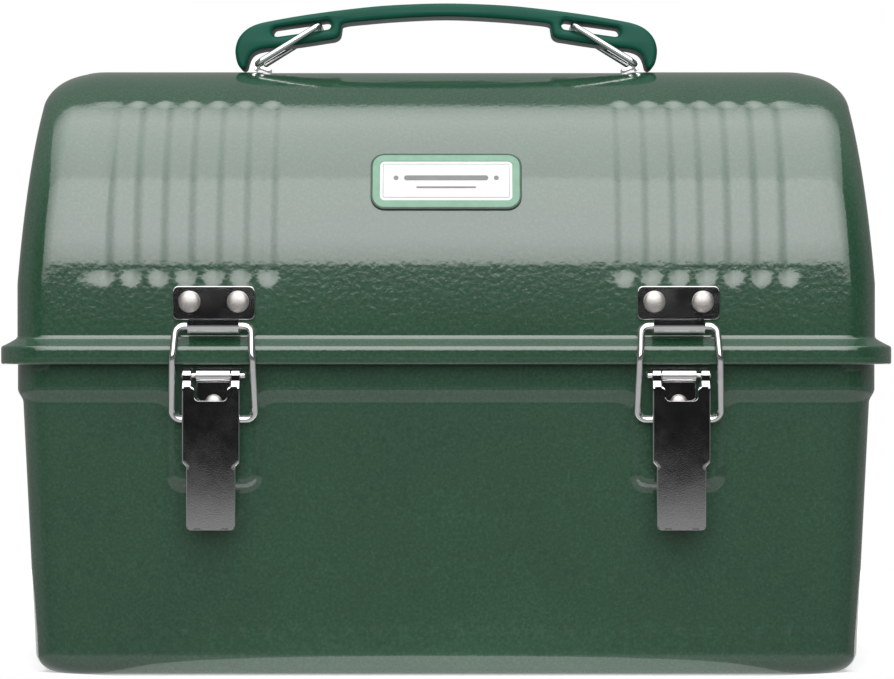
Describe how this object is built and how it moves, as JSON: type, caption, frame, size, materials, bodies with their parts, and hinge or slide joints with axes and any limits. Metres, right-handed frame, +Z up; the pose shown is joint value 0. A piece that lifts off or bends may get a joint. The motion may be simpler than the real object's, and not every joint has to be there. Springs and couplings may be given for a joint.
{
  "type": "metal lunch box",
  "caption": "Dome-lid steel lunch box with draw latches, rear hinges, a lifting carry handle and a bottle retainer inside the lid.",
  "frame": {"origin": "middle of the footprint on the ground, under the middle of the whole object's box", "axes": "+X to the right of someone facing the latches, -Y the latch side, +Z up"},
  "size_m": [0.33, 0.1749, 0.255],
  "materials": {
    "enamel": "glossy hammertone enamel",
    "chrome": "bright plated steel",
    "rivet": "satin domed steel",
    "grip": "semi-gloss moulded plastic",
    "mint": "smooth enamel rim",
    "white": "smooth satin face"
  },
  "bodies": {
    "lid": {"badge_frame": "mint", "badge_panel": "white", "bracket_rivet_left_1": "rivet", "bracket_rivet_left_2": "rivet", "bracket_rivet_right_1": "rivet", "bracket_rivet_right_2": "rivet", "hinge_lid_leaf_left": "chrome", "hinge_lid_leaf_right": "chrome", "hinge_lid_rivet_left_1": "rivet", "hinge_lid_rivet_left_2": "rivet", "hinge_lid_rivet_right_1": "rivet", "hinge_lid_rivet_right_2": "rivet", "keeper_left": "chrome", "keeper_right": "chrome", "keeper_rivet_left_1": "rivet", "keeper_rivet_left_2": "rivet", "keeper_rivet_right_1": "rivet", "keeper_rivet_right_2": "rivet", "lid_shell": "enamel", "link_bracket_left": "chrome", "link_bracket_right": "chrome", "retainer_catch": "chrome", "retainer_clip_left": "chrome", "retainer_clip_right": "chrome"},
    "bail_left": {"bail_left": "chrome"},
    "bail_right": {"bail_right": "chrome"},
    "tub": {"base_rivet_left_1": "rivet", "base_rivet_left_2": "rivet", "base_rivet_right_1": "rivet", "base_rivet_right_2": "rivet", "hinge_pin_left": "chrome", "hinge_pin_right": "chrome", "hinge_tub_leaf_left": "chrome", "hinge_tub_leaf_right": "chrome", "hinge_tub_rivet_left_1": "rivet", "hinge_tub_rivet_left_2": "rivet", "hinge_tub_rivet_right_1": "rivet", "hinge_tub_rivet_right_2": "rivet", "latch_base_left": "chrome", "latch_base_right": "chrome", "latch_pin_left": "chrome", "latch_pin_right": "chrome", "tub": "enamel"},
    "bottle_bail": {"bottle_bail": "chrome"},
    "handle": {"handle_grip": "grip"},
    "lever_left": {"lever_left": "chrome"},
    "lever_right": {"lever_right": "chrome"},
    "link_left": {"link_left": "chrome"},
    "link_right": {"link_right": "chrome"}
  },
  "joints": [
    {"name": "lid_hinge", "type": "hinge", "parent": "tub", "child": "lid", "pos_m": [0, 0.0862, 0.1198], "axis": [-1, 0, 0], "range_deg": [0, 100]},
    {"name": "lever_left_pivot", "type": "hinge", "parent": "tub", "child": "lever_left", "pos_m": [-0.0852, -0.0794, 0.1111], "axis": [-1, 0, 0], "range_deg": [0, 50]},
    {"name": "lever_right_pivot", "type": "hinge", "parent": "tub", "child": "lever_right", "pos_m": [0.0852, -0.0794, 0.1111], "axis": [-1, 0, 0], "range_deg": [0, 50]},
    {"name": "bail_left_pivot", "type": "hinge", "parent": "lever_left", "child": "bail_left", "pos_m": [-0.0852, -0.0788, 0.0949], "axis": [-1, 0, 0], "range_deg": [-30, 0]},
    {"name": "bail_right_pivot", "type": "hinge", "parent": "lever_right", "child": "bail_right", "pos_m": [0.0852, -0.0788, 0.0949], "axis": [-1, 0, 0], "range_deg": [-30, 0]},
    {"name": "handle_lift", "type": "slide", "parent": "lid", "child": "handle", "axis": [0, 0, 1], "range_m": [0, 0.009]},
    {"name": "link_left_pivot", "type": "hinge", "parent": "lid", "child": "link_left", "pos_m": [-0.0732, 0, 0.2313], "axis": [0, -1, 0], "range_deg": [0, 22]},
    {"name": "link_right_pivot", "type": "hinge", "parent": "lid", "child": "link_right", "pos_m": [0.0732, 0, 0.2313], "axis": [0, 1, 0], "range_deg": [0, 22]},
    {"name": "bottle_bail_pivot", "type": "hinge", "parent": "lid", "child": "bottle_bail", "pos_m": [0, 0.066, 0.15], "axis": [1, 0, 0], "range_deg": [0, 50]}
  ],
  "couplings": [
    {"joint": "bail_left_pivot", "follows": "lever_left_pivot", "ratio": -0.59},
    {"joint": "bail_right_pivot", "follows": "lever_right_pivot", "ratio": -0.59},
    {"joint": "link_left_pivot", "follows": "handle_lift", "rad_per_m": 42.3},
    {"joint": "link_right_pivot", "follows": "handle_lift", "rad_per_m": 42.3}
  ]
}
